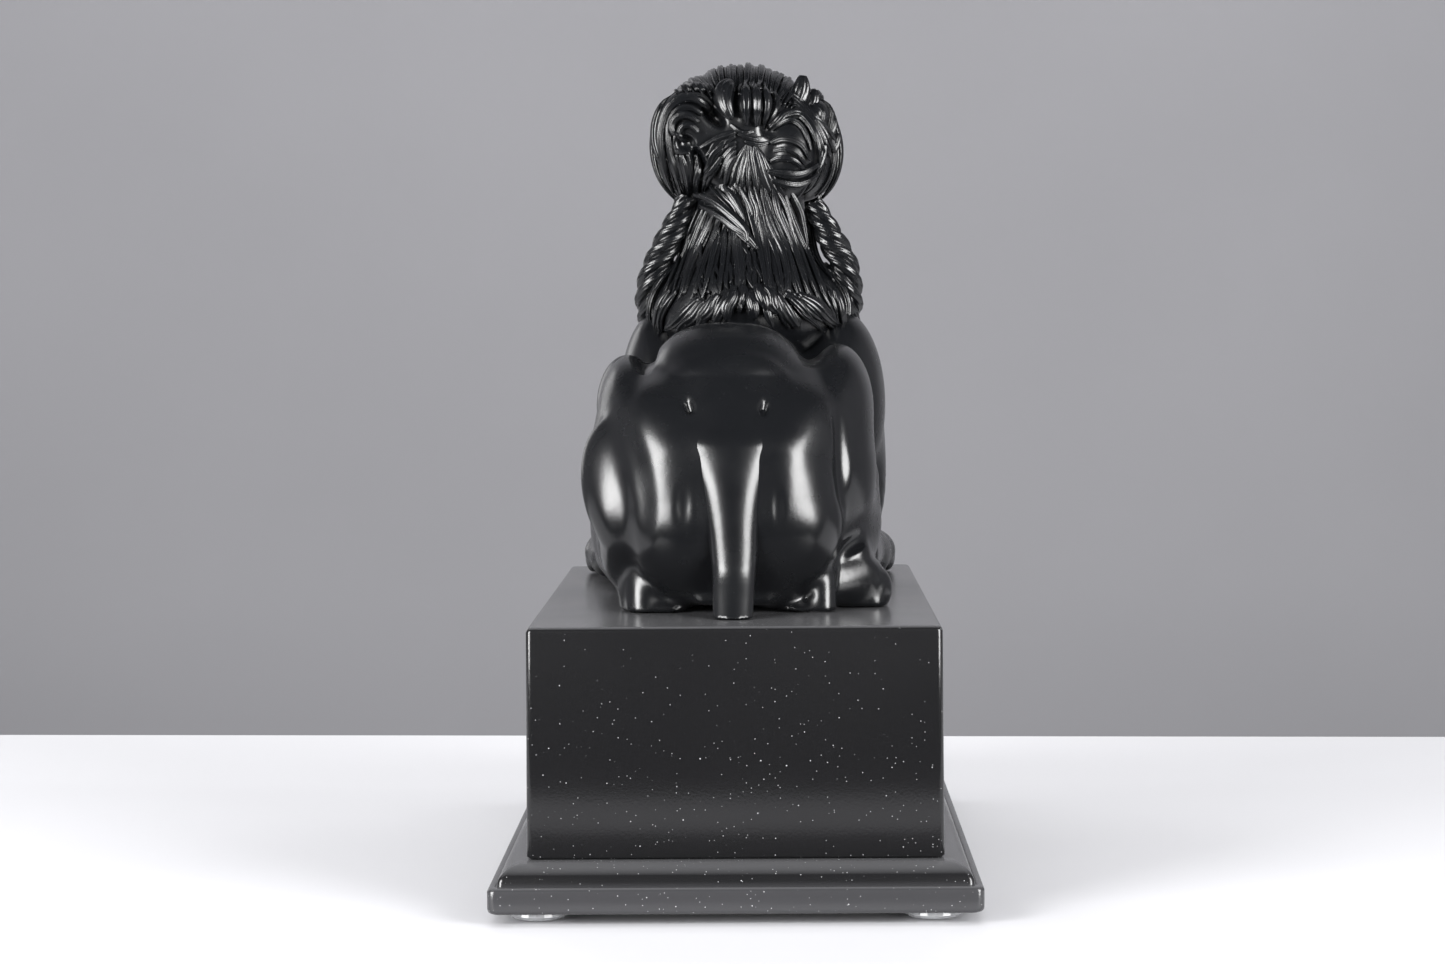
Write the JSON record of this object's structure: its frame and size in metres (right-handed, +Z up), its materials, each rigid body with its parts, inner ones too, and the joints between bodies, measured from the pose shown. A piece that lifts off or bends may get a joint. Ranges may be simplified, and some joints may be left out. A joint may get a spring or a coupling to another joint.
{
  "type": "foo dog statue",
  "caption": "Couchant guardian lion with a combed mane, bow-tied hair and twisted locks, on a stepped rectangular plinth with bumper feet.",
  "frame": {"origin": "middle of the base, on the surface that the bumper feet stand on", "axes": "+Z up; the lion faces -Y, so its own left is +X and its tail is towards +Y"},
  "size_m": [0.1328, 0.234, 0.2392],
  "materials": {
    "black_resin": "satin-gloss black cast resin with lighter wear on the raised strands",
    "black_plinth": "satin black with fine pale speckle",
    "zinc_steel": "zinc plated",
    "black_card": "matt black",
    "clear_bumper": "clear, slightly frosted"
  },
  "bodies": {
    "root": {"body_casting": "black_resin", "tail_casting": "black_resin", "foreleg_left": "black_resin", "foreleg_right": "black_resin", "mane_casting": "black_resin", "head_casting": "black_resin", "hair_bow": "black_resin", "twisted_lock_left": "black_resin", "twisted_lock_right": "black_resin", "plinth_block": "black_plinth", "base_moulding": "black_plinth", "neck_dowel": "zinc_steel", "fixing_stud_front": "zinc_steel", "fixing_stud_rear": "zinc_steel", "fixing_washer_front": "zinc_steel", "fixing_washer_rear": "zinc_steel", "fixing_nut_front": "zinc_steel", "fixing_nut_rear": "zinc_steel", "base_screw_1": "zinc_steel", "base_screw_2": "zinc_steel", "base_screw_3": "zinc_steel", "base_screw_4": "zinc_steel", "underside_cover": "black_card", "bumper_foot_front_left": "clear_bumper", "bumper_foot_front_right": "clear_bumper", "bumper_foot_rear_left": "clear_bumper", "bumper_foot_rear_right": "clear_bumper"}
  },
  "joints": []
}
